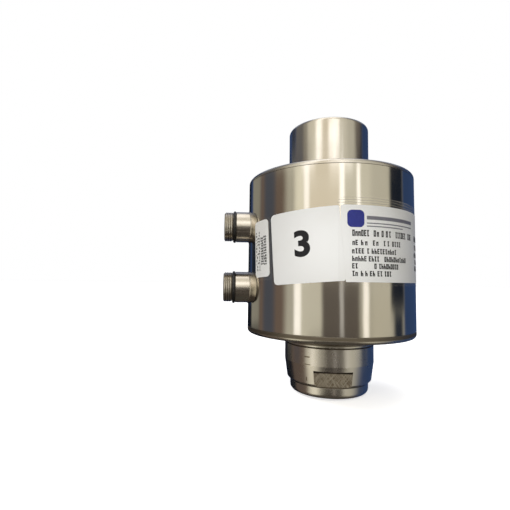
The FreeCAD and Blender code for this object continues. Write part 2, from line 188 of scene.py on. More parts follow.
direction = add(studio, "ShaderNodeTexCoord").outputs["Generated"]
rise = add(studio, "ShaderNodeSeparateXYZ", {"Vector": direction}).outputs["Z"]
level_direction = vector(studio, "NORMALIZE", vector(studio, "MULTIPLY", direction, (1.0, 1.0, 0.0)))


def screen(behind, toward, width, soft_sides, colour, strength, low, high, soft_ends):
    """Light box or dark screen. toward is its azimuth from the camera's side, -Y, round to the right, +X."""
    facing = (math.sin(math.radians(toward)), -math.cos(math.radians(toward)), 0.0)
    ahead = vector(studio, "DOT_PRODUCT", level_direction, facing, result="Value")
    outer = math.cos(math.radians(width / 2 + soft_sides / 2))
    inner = math.cos(math.radians(max(width / 2 - soft_sides / 2, 0.1)))
    share = ramp(studio, ahead, outer, inner)
    for end, inwards in ((low, 1), (high, -1)):
        if abs(end) < 90:
            edges = [math.sin(math.radians(end + side * inwards * soft_ends / 2)) for side in (-1, 1)]
            share = computed(studio, "MULTIPLY", share, ramp(studio, rise, *edges))
    return mixed(studio, share, behind, light_colour(colour, strength))


# A row is a screen's azimuth, its width, the softness of its sides, colour, strength, lowest and highest
# elevation, and the softness of its ends, all angles in degrees. A later row stands in front of earlier ones.
cloth_and_side_screens = (
    (180, 170, 8, navy, 0.165, -90, 90, 5),
    (180, 176, 10, slate, 0.60, 34, 90, 5),
    (-175, 36, 8, coal, 0.05, -90, 19, 5),
    (-150, 65, 8, coal, 0.025, -90, -3, 3),
    (-134, 26, 8, room_beige, 0.40, -7, 19, 3),
    (-134, 30, 6, coal, 0.06, -1, 8, 3),
    (-98, 48, 12, walnut, 0.28, -90, 19, 5),
    (-102, 18, 13, slate, 0.15, -90, 19, 5),
)
upper_can_screens = (
    (-50, 16, 10, room_beige, 1.30, 4, 90, 5),
    (12, 112, 14, room_beige, 1.00, 4, 90, 5),
    (-20, 40, 10, cream, 0.95, 4, 90, 5),
    (56, 28, 12, room_beige, 0.82, -90, 90, 5),
    (-43, 5, 5, paper_white, 1.55, 4, 90, 5),
    (2.6, 5.5, 3, paper_white, 1.80, 3, 90, 5),
    (24.5, 3.5, 3, paper_white, 1.70, 4, 22, 5),
)
lower_can_screens = (
    (-38, 30, 8, room_beige, 0.90, -10, 3, 5),
    (-55, 8.5, 5, paper_white, 1.50, -10, 3, 5),
    (1, 46.5, 6, umber, 0.14, -90, 3, 5),
    (1.8, 3, 4, paper_white, 0.56, -9, 3, 5),
    (33, 6, 5, paper_white, 1.50, -10, 3, 5),
    (83, 25, 6, coal, 0.05, -4, 90, 3),
    (84, 15, 8, coal, 0.07, -10, -4, 3),
)
foot_screens = (
    (-56, 32, 18, room_beige, 1.35, -90, -10, 3),
    (-7, 56, 30, umber, 0.02, -90, -10, 3),
    (-7, 90, 24, umber, 0.15, -90, -34, 8),
    (-103, 36, 20, walnut, 0.22, -90, -10, 3),
    (1.5, 6, 4, umber, 0.34, -25, -13, 3),
    (121, 108, 44, navy, 0.165, -90, -10, 3),
)
button_screens = (
    (-138, 20, 8, coal, 0.12, 18, 34, 5),
    (-106, 34, 10, paper_white, 0.19, 19, 90, 5),
    (-82, 14, 8, room_beige, 0.50, 19, 90, 5),
    (-62, 26, 12, room_beige, 1.10, 19, 90, 5),
    (-41, 16, 8, paper_white, 2.05, 19, 90, 5),
    (2, 30, 8, paper_white, 2.05, 19, 40, 5),
    (78, 18, 14, umber, 0.20, 19, 90, 5),
)
# Ceiling and floor: sines of the elevations where each begins and is full, colour and strength.
caps = (
    (0.88, 0.95, paper_white, 1.3),
    (0.94, 0.98, paper_white, 1.9),
    (-0.60, -0.75, umber, 0.07),
    (-0.96, -0.98, room_beige, 0.10),
)

light = light_colour(room_beige, 0.66)
for storey in (cloth_and_side_screens, upper_can_screens, lower_can_screens, foot_screens, button_screens):
    for row in storey:
        light = screen(light, *row)
for start, full, colour, strength in caps:
    light = mixed(studio, ramp(studio, rise, start, full), light, light_colour(colour, strength))

lit = add(studio, "ShaderNodeBackground", {"Color": light, "Strength": 1.0})
plain = add(studio, "ShaderNodeBackground", {"Color": backdrop_white, "Strength": 1.0})
from_camera = add(studio, "ShaderNodeLightPath").outputs["Is Camera Ray"]
shown = add(studio, "ShaderNodeMixShader", {0: from_camera, 1: lit.outputs[0], 2: plain.outputs[0]})
add(studio, "ShaderNodeOutputWorld", {"Surface": shown.outputs[0]})

spot_angle = 3.7
for name, kind, size, energy, place, pitch, yaw in (
    ("front_light", "SPOT", 0.06, 40.0, (-0.344, -1.127, 0.627), 64.1, -17),
    ("side_light", "AREA", 0.6, 8.0, (-0.95, 0.55, 0.75), 59, -120),
    ("top_light", "AREA", 1.4, 3.0, (0.0, -0.35, 1.5), 13, 0),
):
    lamp = bpy.data.objects.new(name, bpy.data.lights.new(name, kind))
    if kind == "SPOT":
        lamp.data.shadow_soft_size = size / 2
        lamp.data.spot_size = math.radians(spot_angle)
        lamp.data.spot_blend = 1.0
    else:
        lamp.data.shape = "DISK"
        lamp.data.size = size
    lamp.data.energy = energy
    lamp.location = place
    lamp.rotation_euler = (math.radians(pitch), 0.0, math.radians(yaw))
    lamp.visible_glossy = False
    bpy.context.scene.collection.objects.link(lamp)

# Load column. One bar of stainless steel, turned between centres: crowned foot and button, and the thinner
# waist whose four milled faces carry the gauges. Two flats milled on the foot keep the cell from turning. The
# foot is satin from turning; painted shade darkens its relief, and grime has gathered in the groove by its
# weld.
crown_radius = 180.0
contact_spot_radius = 6.0
tip_radius = 21.4
tip_height = 6.6
tip_edge_radius = 2.5
relief_width = 0.6
relief_depth = 0.5
cone_low_radius = 23.1
cone_edge = 0.9
cone_top = 17.7
foot_radius = 24.5
foot_top = 26.9
weld_groove = 0.35
core_radius = 20.6
waist_radius = 18.0
waist_bottom = 46.0
waist_top = 98.0
waist_fillet = 3.0
core_fillet = 2.34
facet_distance = 16.0
facet_low = 55.0
facet_high = 89.0
seat_radius = 23.0
button_bottom = 117.9
button_radius = 22.7
button_edge_radius = 2.0
column_top = cad_high.z / mm
flat_low_distance = 21.0
flat_high_distance = 22.0
flat_low = tip_height + relief_width
flat_high = flat_low + 8.1
flat_angles = (261.2, 81.2)
edge_break = 0.12
longest_break_share = 0.4
straight_angle = 20.0
turned_segments = 360
edge_steps = 16
fillet_steps = 12
sharp_angle = 7.5


def arc(centre, radius, start, end, steps):
    """Points on an arc of an outline, start and end in degrees."""
    points = []
    for step in range(steps + 1):
        angle = math.radians(start + (end - start) * step / steps)
        points.append((centre[0] + radius * math.cos(angle), centre[1] + radius * math.sin(angle)))
    return points


def crowned_end(sphere_radius, rim_radius, edge_radius):
    """Outline of a crowned end from its middle to its rim, heights from the flat spot at its middle."""
    loss = sphere_radius - math.sqrt(sphere_radius ** 2 - contact_spot_radius ** 2)
    start = math.degrees(math.atan2(loss - sphere_radius, contact_spot_radius))
    inset = rim_radius - edge_radius
    drop = math.sqrt((sphere_radius - edge_radius) ** 2 - inset ** 2)
    meeting = math.degrees(math.atan2(-drop, inset))
    crown = arc((0.0, sphere_radius - loss), sphere_radius, start, meeting, fillet_steps)
    edge = arc((inset, sphere_radius - loss - drop), edge_radius, meeting, 0, edge_steps)
    return [(0.0, 0.0)] + crown + edge[1:]


def broken(corners, size):
    """Outline with each sharp corner broken by a small bevel, the ends left alone."""
    points = [corners[0]]
    for before, corner, after in zip(corners, corners[1:], corners[2:]):
        here = Vector(corner)
        back = Vector(before) - here
        ahead = Vector(after) - here
        reach = min(size, longest_break_share * back.length, longest_break_share * ahead.length)
        straight = abs(back.angle(ahead) - math.pi) < math.radians(straight_angle)
        if straight:
            points.append(corner)
        else:
            points.append(tuple(here + back.normalized() * reach))
            points.append(tuple(here + ahead.normalized() * reach))
    return points + [corners[-1]]


def turned_mesh(outline, closed, segments=turned_segments):
    """Mesh turned about +Z from an outline of radii and heights that runs anticlockwise round the metal."""
    mesh = bmesh.new()
    rings = []
    for radius, height in outline:
        if radius < 0.0001:
            rings.append([mesh.verts.new((0.0, 0.0, height * mm))])
            continue
        ring = []
        for index in range(segments):
            angle = 2 * math.pi * index / segments
            x = radius * mm * math.cos(angle)
            y = radius * mm * math.sin(angle)
            ring.append(mesh.verts.new((x, y, height * mm)))
        rings.append(ring)
    if closed:
        rings.append(rings[0])
    for low, high in zip(rings, rings[1:]):
        for index in range(segments):
            after = (index + 1) % segments
            below = [low[index % len(low)], low[after % len(low)]]
            above = [high[after % len(high)], high[index % len(high)]]
            mesh.faces.new(list(dict.fromkeys(below + above)))
    return mesh


def meshed(name, mesh, smooth_angle=25):
    """Object from a bmesh, smooth except at its sharp edges."""
    data = bpy.data.meshes.new(name)
    mesh.to_mesh(data)
    mesh.free()
    for face in data.polygons:
        face.use_smooth = True
    data.set_sharp_from_angle(angle=math.radians(smooth_angle))
    return bpy.data.objects.new(name, data)


def cut_away(piece, cutters, smooth_angle=25):
    """Cuts solids out of a piece with exact booleans and deletes them."""
    bpy.context.scene.collection.objects.link(piece)
    for cutter in cutters:
        bpy.context.scene.collection.objects.link(cutter)
        cut = piece.modifiers.new("cut", "BOOLEAN")
        cut.operation = "DIFFERENCE"
        cut.solver = "EXACT"
        cut.object = cutter
    graph = bpy.context.evaluated_depsgraph_get()
    result = bpy.data.meshes.new_from_object(piece.evaluated_get(graph))
    piece.modifiers.clear()
    piece.data = result
    for cutter in cutters:
        bpy.data.objects.remove(cutter)
    bpy.context.scene.collection.objects.unlink(piece)
    for face in piece.data.polygons:
        face.use_smooth = True
    piece.data.set_sharp_from_angle(angle=math.radians(smooth_angle))
    return piece


def milling_wedge(low_distance, high_distance, low, high, angle):
    """What the mill takes off: its inner face leaves the column's axis from one distance to another."""
    reach = 40.0
    profile = [(low_distance, low), (reach, low), (reach, high), (high_distance, high)]
    mesh = bmesh.new()
    sides = [[mesh.verts.new((x * mm, side * reach * mm, z * mm)) for x, z in profile] for side in (-1, 1)]
    mesh.faces.new(sides[0])
    mesh.faces.new(sides[1][::-1])
    for index in range(len(profile)):
        after = (index + 1) % len(profile)
        mesh.faces.new((sides[0][index], sides[1][index], sides[1][after], sides[0][after]))
    bmesh.ops.recalc_face_normals(mesh, faces=mesh.faces)
    bmesh.ops.transform(mesh, matrix=Matrix.Rotation(math.radians(angle), 4, "Z"), verts=mesh.verts)
    return meshed("milling_wedge", mesh)


def object_place(tree):
    """Place on the piece itself, in metres."""
    return add(tree, "ShaderNodeTexCoord").outputs["Object"]


def noise(tree, place, scale, detail, **more):
    """Noise from 0 to 1 over a place."""
    values = {"Vector": place, "Scale": scale, "Detail": detail, **more}
    return add(tree, "ShaderNodeTexNoise", values).outputs["Fac"]


def relief(tree, height, depth, strength=1.0, under=None):
    """Normal of a face with a fine relief, laid over another normal where one is given."""
    values = {"Height": height, "Strength": strength, "Distance": depth * mm}
    if under is not None:
        values["Normal"] = under
    return add(tree, "ShaderNodeBump", values).outputs["Normal"]


def band(tree, value, middle, half_width):
    """1 near a place along a value, and 0 from a half width off it."""
    off = computed(tree, "ABSOLUTE", computed(tree, "SUBTRACT", value, middle * mm))
    return ramp(tree, off, half_width * mm, half_width * 0.5 * mm)


wave_scale = 42.0
smudge_scale = 60.0
stain_scale = 22.0
smudge_dullness = 1.4
satin_roughness = 0.06
satin_blend = 2.0
grime_and_shade_roughness = 0.35
grime_and_shade_brown = (0.23, 0.195, 0.15, 1.0)
nick_brown = (0.26, 0.22, 0.17, 1.0)
stain_shade = (0.94, 0.92, 0.88, 1.0)


def steel(name, colour, roughness, brushing, groove_depth, waviness, grime_and_shade, groove_scale=900.0,
          satin_below=-1000.0, axis=(0, 0, 1), point=(0, 0, 0)):
    """Turned steel, brushed round an axis. Dark rings are places along the axis and half widths; some are
    seam grime, some painted shade.
    """
    material, tree, shader = new_material(name, {"Metallic": 1.0, "Anisotropic": brushing})
    place = object_place(tree)
    normal = add(tree, "ShaderNodeNewGeometry").outputs["Normal"]
    arm = vector(tree, "SUBTRACT", place, point)
    around = vector(tree, "CROSS_PRODUCT", axis, arm)
    across = vector(tree, "NORMALIZE", vector(tree, "CROSS_PRODUCT", normal, around))
    along = vector(tree, "DOT_PRODUCT", axis, arm, result="Value")
    out = vector(tree, "LENGTH", around, result="Value")
    tree.links.new(across, shader.inputs["Tangent"])

    waves = relief(tree, noise(tree, place, wave_scale, 1.5), waviness)
    groove_place = add(tree, "ShaderNodeCombineXYZ", {"X": along, "Y": out}).outputs["Vector"]
    grooves = noise(tree, groove_place, groove_scale, 6.0, Roughness=0.7)
    tree.links.new(relief(tree, grooves, groove_depth, under=waves), shader.inputs["Normal"])

    smudges = ramp(tree, noise(tree, place, smudge_scale, 5.0, Roughness=0.6), 0.35, 0.75)
    gloss = computed(tree, "MULTIPLY_ADD", smudges, roughness * (smudge_dullness - 1.0), roughness)
    satin = ramp(tree, along, (satin_below + satin_blend) * mm, satin_below * mm)
    gloss = computed(tree, "MULTIPLY_ADD", satin, satin_roughness, gloss)
    stains = ramp(tree, noise(tree, place, stain_scale, 3.0, Distortion=0.6), 0.3, 0.75)
    stained = tuple(channel * shade for channel, shade in zip(colour, stain_shade))
    tone = mixed(tree, stains, colour, stained)
    # Each caller lists which dark rings are seam grime and which are painted shade.
    for level, half_width in grime_and_shade:
        share = band(tree, along, level, half_width)
        tone = mixed(tree, share, tone, grime_and_shade_brown)
        gloss = computed(tree, "MULTIPLY_ADD", share, grime_and_shade_roughness, gloss)
    tree.links.new(tone, shader.inputs["Base Color"])
    tree.links.new(gloss, shader.inputs["Roughness"])
    return material


def nicked(material, radius, nicks):
    """Adds dark nicks to a turned face. A nick is its azimuth and height, and half its length and breadth."""
    tree = material.node_tree
    base = tree.nodes["Principled BSDF"].inputs["Base Color"]
    tone = base.links[0].from_socket
    parts = add(tree, "ShaderNodeSeparateXYZ", {"Vector": object_place(tree)}).outputs
    length = computed(tree, "MULTIPLY", computed(tree, "ARCTAN2", parts["Y"], parts["X"]), radius * mm)
    for azimuth, level, half_length, half_height in nicks:
        beside = band(tree, length, math.radians(azimuth) * radius, half_length)
        share = computed(tree, "MULTIPLY", beside, band(tree, parts["Z"], level, half_height))
        tone = mixed(tree, share, tone, nick_brown)
    tree.links.new(tone, base)


# Painted shadow: a dark band along the flat's upper edge, under the ledge of the cone.
ledge_shadow_start = 1.5
ledge_shadow_full = 0.8
scratch_lean = 38.0
scratch_stretch = (1600.0, 300.0, 160.0)
scratch_spread = (0.42, 0.68)
pit_scale = 1400.0
mill_depth = 0.10
mill_brown = (0.34, 0.28, 0.21, 1.0)
mill_bright = (0.62, 0.56, 0.46, 1.0)
ledge_shadow_brown = (0.03, 0.02, 0.015, 1.0)


def milled_steel():
    """Rough face left by the mill, brownish from oil, with crossing scratches and painted shadow along its
    upper edge.
    """
    material, tree, shader = new_material("milled_steel", {"Metallic": 0.85, "Roughness": 0.48})
    place = object_place(tree)
    height = add(tree, "ShaderNodeSeparateXYZ", {"Vector": place}).outputs["Z"]
    facing = math.radians(270.0 - flat_angles[0])
    scratches = []
    for lean in (-scratch_lean, scratch_lean):
        rotation = (0.0, math.radians(lean), facing)
        turned = add(tree, "ShaderNodeMapping", {"Vector": place, "Rotation": rotation}).outputs["Vector"]
        pressed = add(tree, "ShaderNodeMapping", {"Vector": turned, "Scale": scratch_stretch})
        streaks = noise(tree, pressed.outputs["Vector"], 1.0, 3.0, Roughness=0.6)
        scratches.append(ramp(tree, streaks, *scratch_spread))
    crossed = computed(tree, "MAXIMUM", *scratches)
    pitted = computed(tree, "ADD", crossed, noise(tree, place, pit_scale, 4.0))
    # Painted shadow under the ledge, darkest at the flat's upper edge.
    ledge_shadow = ramp(tree, height, (flat_high - ledge_shadow_start) * mm, (flat_high - ledge_shadow_full) * mm)
    tone = mixed(tree, ledge_shadow, mixed(tree, crossed, mill_brown, mill_bright), ledge_shadow_brown)
    tree.links.new(tone, shader.inputs["Base Color"])
    tree.links.new(relief(tree, pitted, mill_depth), shader.inputs["Normal"])
    return material


relief_top = tip_height + relief_width
waist_step = [
    (core_radius, waist_bottom),
    *arc((waist_radius + core_fillet, waist_bottom + core_fillet), core_fillet, 270, 180, fillet_steps),
    *arc((waist_radius + waist_fillet, waist_top - waist_fillet), waist_fillet, 180, 90, fillet_steps),
    (seat_radius, waist_top),
    (seat_radius, button_bottom),
    (button_radius, button_bottom),
]
foot_side = broken([
    (tip_radius, tip_height - 1.0),
    (tip_radius, tip_height),
    (tip_radius - relief_depth, tip_height),
    (tip_radius - relief_depth, relief_top),
    (cone_low_radius - cone_edge, relief_top),
    (cone_low_radius, relief_top + cone_edge),
    (foot_radius, cone_top),
    (foot_radius, foot_top - weld_groove),
    (foot_radius - weld_groove, foot_top),
    (core_radius, foot_top),
    (core_radius, foot_top + 1.0),
], edge_break)
foot_end = crowned_end(crown_radius, tip_radius, tip_edge_radius)
button_end = [(radius, column_top - height) for radius, height in crowned_end(
    crown_radius, button_radius, button_edge_radius)]
column_outline = foot_end + foot_side + waist_step + button_end[::-1]
column = meshed("turned_column", turned_mesh(column_outline, closed=False))
milled = []
for angle in flat_angles:
    milled.append(milling_wedge(flat_low_distance, flat_high_distance, flat_low, flat_high, angle))
for quarter in range(4):
    milled.append(milling_wedge(facet_distance, facet_distance, facet_low, facet_high, 90 * quarter))
column = cut_away(column, milled, smooth_angle=sharp_angle)
square_on = 0.98
for angle in flat_angles:
    outwards = Vector((math.cos(math.radians(angle)), math.sin(math.radians(angle)), 0.0))
    for face in column.data.polygons:
        on_foot = flat_low * mm < face.center.z < flat_high * mm
        set_in = face.center.dot(outwards) < (flat_high_distance + 0.2) * mm
        if on_foot and set_in and face.normal.dot(outwards) > square_on:
            face.material_index = 1
# Dark rings below: painted shade in the foot's relief groove, then grime in the groove by the weld.
column_steel = steel("column_steel", (0.66, 0.62, 0.56, 1.0), 0.19, 0.6, 0.012, 0.03, (
    (relief_top - 0.3, 0.5),
    (foot_top - 0.1, 0.3),
), satin_below=foot_top)
nicked(column_steel, foot_radius, (
    (-131.0, 22.0, 2.0, 0.5),
    (-130.5, 18.2, 2.2, 0.35),
    (-133.0, 10.6, 0.5, 1.3),
))
settle(column, column_steel, milled_steel())
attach(column, "root")
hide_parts("load_column")

# Lower cover. Turned from stainless bar in one piece with the neck that slips over the column. The neck is
# welded to the foot and the rim to the tube. The rim is dull and brownish from the heat of welding, and the
# neck is painted darker and duller as shade, where the can hangs over it.
housing_radius = cad_high.x / mm
housing_bottom = 32.3
housing_top = 117.9
tube_bottom = 35.8
tube_top = 115.4
tube_bore = 43.4
cover_edge_radius = 1.8
cover_bore = 21.2
spigot_radius = 43.3
spigot_inner = 40.3
spigot_height = 2.5
neck_fillet = 0.3

lower_cover_outline = [
    *broken([
        (cover_bore, tube_bottom),
        (cover_bore, foot_top),
        (foot_radius - weld_groove, foot_top),
        (foot_radius, foot_top + weld_groove),
        (foot_radius, housing_bottom - neck_fillet),
    ], edge_break)[1:],
    (foot_radius + neck_fillet, housing_bottom),
    *arc((housing_radius - cover_edge_radius, housing_bottom + cover_edge_radius),
         cover_edge_radius, 270, 360, edge_steps),
    *broken([
        (housing_radius, housing_bottom + cover_edge_radius),
        (housing_radius, tube_bottom),
        (spigot_radius, tube_bottom),
        (spigot_radius, tube_bottom + spigot_height),
        (spigot_inner, tube_bottom + spigot_height),
        (spigot_inner, tube_bottom),
        (cover_bore, tube_bottom),
    ], edge_break)[1:],
]
lower_cover = meshed("turned_lower_cover", turned_mesh(lower_cover_outline, closed=True), sharp_angle)
lower_cover_steel = steel("lower_cover_steel", (0.66, 0.62, 0.54, 1.0), 0.24, 0.5, 0.012, 0.02, (
    (foot_top + 0.1, 0.2),
    # Painted shade on the neck, where the can hangs over it.
    (foot_top + 2.6, 2.0),
    (tube_bottom - 0.9, 1.15),
))
settle(lower_cover, lower_cover_steel)
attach(lower_cover, "root")
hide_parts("lower_cover")

# Housing tube. A length of thick stainless tube, polished on the outside, with two round holes for the
# connectors. It is welded all round to both covers, and the seams show as fine lines.
barrel_radius = 8.6
barrel_segments = 192
hole_clearance = 0.1
hole_start = 30.0
hole_end = 60.0
hole_segments = 128
connector_heights = {"lower": 57.0, "upper": 91.2}
connector_end = 60.1
seam_bevel = 0.12

tube_outline = broken([
    (tube_bore, tube_bottom + 1.0),
    (tube_bore, tube_bottom),
    (housing_radius, tube_bottom),
    (housing_radius, tube_top),
    (tube_bore, tube_top),
    (tube_bore, tube_bottom + 1.0),
], seam_bevel)[:-1]
can_steel = steel("can_steel", (0.68, 0.64, 0.57, 1.0), 0.10, 0.45, 0.006, 0.10, (
    (tube_bottom, 0.2),
    (tube_top, 0.12),
), groove_scale=700.0)


def laid(mesh, height):
    """Lays what stands on the column's axis along the connectors' axis, at one height."""
    turn_down = Matrix.Rotation(math.radians(-90), 4, "Y")
    lift = Matrix.Translation((0.0, 0.0, height * mm))
    bmesh.ops.transform(mesh, matrix=lift @ turn_down, verts=mesh.verts)
    return mesh


def drill(radius, start, end, height):
    """Solid that bores a round hole from one distance to another, at one height."""
    outline = [(0.0, start), (radius, start), (radius, end), (0.0, end)]
    return meshed("drill", laid(turned_mesh(outline, closed=False, segments=hole_segments), height))


tube = meshed("polished_tube", turned_mesh(tube_outline, closed=True))
hole_radius = barrel_radius + hole_clearance
drills = [drill(hole_radius, hole_start, hole_end, height) for height in connector_heights.values()]
tube = cut_away(tube, drills)
settle(tube, can_steel)
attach(tube, "root")
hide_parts("housing_tube")

# Upper cover. A turned stainless disc with a groove round the button: the thin ring left under the groove
# lets the button settle under load and keeps the can sealed.
groove_inner_radius = 25.4
groove_outer_radius = 31.7
groove_floor = tube_top + 1.2
groove_fillet = 0.4

upper_cover_outline = [
    *broken([
        (seat_radius, housing_top),
        (seat_radius, tube_top),
        (spigot_inner, tube_top),
        (spigot_inner, tube_top - spigot_height),
        (spigot_radius, tube_top - spigot_height),
        (spigot_radius, tube_top),
        (housing_radius, tube_top),
        (housing_radius, housing_top - cover_edge_radius),
    ], edge_break)[1:-1],
    *arc((housing_radius - cover_edge_radius, housing_top - cover_edge_radius),
         cover_edge_radius, 0, 90, edge_steps),
    *broken([
        (housing_radius - cover_edge_radius, housing_top),
        (groove_outer_radius, housing_top),
        (groove_outer_radius, groove_floor),
        (groove_inner_radius, groove_floor),
        (groove_inner_radius, housing_top),
        (seat_radius, housing_top),
    ], groove_fillet)[1:],
]
upper_cover = meshed("turned_upper_cover", turned_mesh(upper_cover_outline, closed=True), sharp_angle)
upper_cover_steel = steel("upper_cover_steel", (0.66, 0.62, 0.56, 1.0), 0.24, 0.5, 0.012, 0.02, (
    (tube_top, 0.12),
))
settle(upper_cover, upper_cover_steel)
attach(upper_cover, "root")
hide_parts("upper_cover")

# Connector shells. Two stainless barrels, each turned with a groove and a fine thread, put through the tube
# and welded round. The thread is a rolled ridge, and the weld is a narrow rippled bead. Painted shade darkens
# the roots of the thread's first turns.
shell_back = 41.8
shell_lip_depth = 1.2
lip_radius = 5.2
insert_radius = 6.2
insert_front = 55.1
mouth_radius = 6.6
groove_inner = 53.4
groove_outer = 55.2
oring_seat_radius = 7.3
thread_radius = 8.4
thread_root = 7.8
thread_pitch = 1.0
thread_chamfer = 0.6
thread_steps = 72
thread_start = groove_outer + 0.5
thread_runout = 0.3
thread_base_share = 0.96
thread_crest_share = 0.16
# The roots of the thread's first turns are darkened with painted shade.
shaded_root_count = 5
painted_root_shade = 0.3
weld_leg = 0.4
weld_swell = 0.08
weld_sink = 0.02
weld_root = 0.25
weld_steps = 288
weld_ripples = 60
weld_ripple_share = 0.10

shell_outline = broken([
    (lip_radius, shell_back + 0.5),
    (lip_radius, shell_back),
    (barrel_radius, shell_back),
    (barrel_radius, groove_inner),
    (oring_seat_radius, groove_inner),
    (oring_seat_radius, groove_outer),
    (thread_root, groove_outer),
    (thread_root, connector_end - thread_chamfer / 2),
    (thread_root - thread_chamfer / 2, connector_end),
    (mouth_radius, connector_end),
    (mouth_radius, insert_front),
    (insert_radius, insert_front),
    (insert_radius, shell_back + shell_lip_depth),
    (lip_radius, shell_back + shell_lip_depth),
    (lip_radius, shell_back + 0.5),
], edge_break)[:-1]


def shape_tree(name, numbers, others=()):
    """Geometry node tree with a mesh out, and with named numbers, other sockets and a material in."""
    tree = bpy.data.node_groups.new(name, "GeometryNodeTree")
    tree.interface.new_socket("Geometry", in_out="OUTPUT", socket_type="NodeSocketGeometry")
    sockets = [(socket, "NodeSocketFloat") for socket in numbers]
    for socket, kind in (*sockets, *others, ("Material", "NodeSocketMaterial")):
        tree.interface.new_socket(socket, in_out="INPUT", socket_type=kind)
    return tree, add(tree, "NodeGroupInput").outputs


def put_out(tree, shape, material):
    """Ends a tree: instances become real, and the shape leaves in its material."""
    real = add(tree, "GeometryNodeRealizeInstances", {"Geometry": shape}).outputs["Geometry"]
    finished = add(tree, "GeometryNodeSetMaterial", {"Geometry": real, "Material": material})
    add(tree, "NodeGroupOutput", {"Geometry": finished.outputs["Geometry"]})


def thread_tree():
    """Geometry nodes for a thread: one ridge swept along a helix that stands on the axis."""
    tree, given = shape_tree("thread", ("Root radius", "Pitch", "Turns", "Ridge height"))
    helix = add(tree, "GeometryNodeCurveSpiral", {
        "Resolution": thread_steps,
        "Rotations": given["Turns"],
        "Start Radius": given["Root radius"],
        "End Radius": given["Root radius"],
        "Height": computed(tree, "MULTIPLY", given["Pitch"], given["Turns"]),
    })
    upright = add(tree, "GeometryNodeSetCurveNormal", {"Curve": helix.outputs["Curve"]}, mode="Z_UP")
    ridge = add(tree, "GeometryNodeCurvePrimitiveQuadrilateral", {
        "Height": given["Ridge height"],
        "Bottom Width": computed(tree, "MULTIPLY", given["Pitch"], thread_base_share),
        "Top Width": computed(tree, "MULTIPLY", given["Pitch"], thread_crest_share),
        "Offset": 0.0,
    }, mode="TRAPEZOID")
    swept = add(tree, "GeometryNodeCurveToMesh", {
        "Curve": upright.outputs["Curve"],
        "Profile Curve": ridge.outputs["Curve"],
        "Fill Caps": True,
    })
    put_out(tree, swept.outputs["Mesh"], given["Material"])
    return tree


def grown(name, tree, values):
    """Plain mesh made by geometry nodes, with the values of the tree's named inputs."""
    piece = bpy.data.objects.new(name, bpy.data.meshes.new(name))
    bpy.context.scene.collection.objects.link(piece)
    nodes = piece.modifiers.new("nodes", "NODES")
    nodes.node_group = tree
    for item in tree.interface.items_tree:
        if item.in_out == "INPUT" and item.name in values:
            nodes[item.identifier] = values[item.name]
    graph = bpy.context.evaluated_depsgraph_get()
    result = bpy.data.meshes.new_from_object(piece.evaluated_get(graph))
    bpy.data.objects.remove(piece)
    return result


def weld_bead(height):
    """Fillet weld where a barrel leaves the can. Its section follows the saddle and swells at each ripple."""
    mesh = bmesh.new()
    rings = []
    for step in range(weld_steps):
        angle = 2 * math.pi * step / weld_steps
        ripple = 1.0 + weld_ripple_share * math.sin(weld_ripples * angle)
        section = []
        for share in (0.0, 0.25, 0.5, 0.75, 1.0):
            swell = weld_swell * ripple * math.sin(math.pi * share)
            section.append((weld_leg * share + swell, weld_leg * (1.0 - share) + swell - weld_sink))
        section.append((-weld_root, -weld_root))
        ring = []
        for out, lift in section:
            y = (barrel_radius + out) * math.sin(angle)
            x = math.sqrt(housing_radius ** 2 - y ** 2) + lift
            z = height + (barrel_radius + out) * math.cos(angle)
            ring.append(mesh.verts.new((-x * mm, y * mm, z * mm)))
        rings.append(ring)
    for here, after in zip(rings, rings[1:] + rings[:1]):
        for index in range(len(here)):
            beside = (index + 1) % len(here)
            mesh.faces.new((here[index], here[beside], after[beside], after[index]))
    bmesh.ops.recalc_face_normals(mesh, faces=mesh.faces)
    return mesh


thread = thread_tree()
thread_turns = (connector_end - groove_outer - thread_runout) / thread_pitch - 1.0
for which, height in connector_heights.items():
    # Dark rings of painted shade in the roots of the thread.
    shaded_roots = [(-thread_start - turn * thread_pitch, painted_root_shade) for turn in range(shaded_root_count)]
    name = which + "_connector_steel"
    connector_steel = steel(name, (0.62, 0.58, 0.52, 1.0), 0.25, 0.35, 0.010, 0.02, shaded_roots,
                            axis=(1, 0, 0), point=(0.0, 0.0, height * mm))
    barrel = turned_mesh(shell_outline, closed=True, segments=barrel_segments)
    ridge = grown("ridge", thread, {
        "Root radius": thread_root * mm,
        "Pitch": thread_pitch * mm,
        "Turns": thread_turns,
        "Ridge height": (thread_radius - thread_root) * 2 * mm,
        "Material": connector_steel,
    })
    ridge.transform(Matrix.Translation((0.0, 0.0, thread_start * mm)))
    barrel.from_mesh(ridge)
    laid(barrel, height)
    bead = weld_bead(height)
    bead_data = bpy.data.meshes.new("bead")
    bead.to_mesh(bead_data)
    bead.free()
    barrel.from_mesh(bead_data)
    shell = settle(meshed(which + "_threaded_barrel", barrel), connector_steel)
    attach(shell, "root")
    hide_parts(which + "_connector_shell")

# Sealing rings. Black rubber O-rings that sit in the grooves behind the threads and stand a little proud of
# them, so that a plug's nut presses them tight.
oring_section = 0.85
oring_steps = 24
oring_middle = (groove_inner + groove_outer) / 2
rubber_tones = ((0.012, 0.012, 0.013, 1.0), (0.05, 0.048, 0.045, 1.0))


def mottled(name, tones, scale, detail, values, spread=None):
    """Material that drifts between two tones with fine noise, over a spread of it where one is given."""
    material, tree, shader = new_material(name, values)
    drift = noise(tree, object_place(tree), scale, detail)
    share = ramp(tree, drift, *spread) if spread else drift
    tree.links.new(mixed(tree, share, *tones), shader.inputs["Base Color"])
    return material


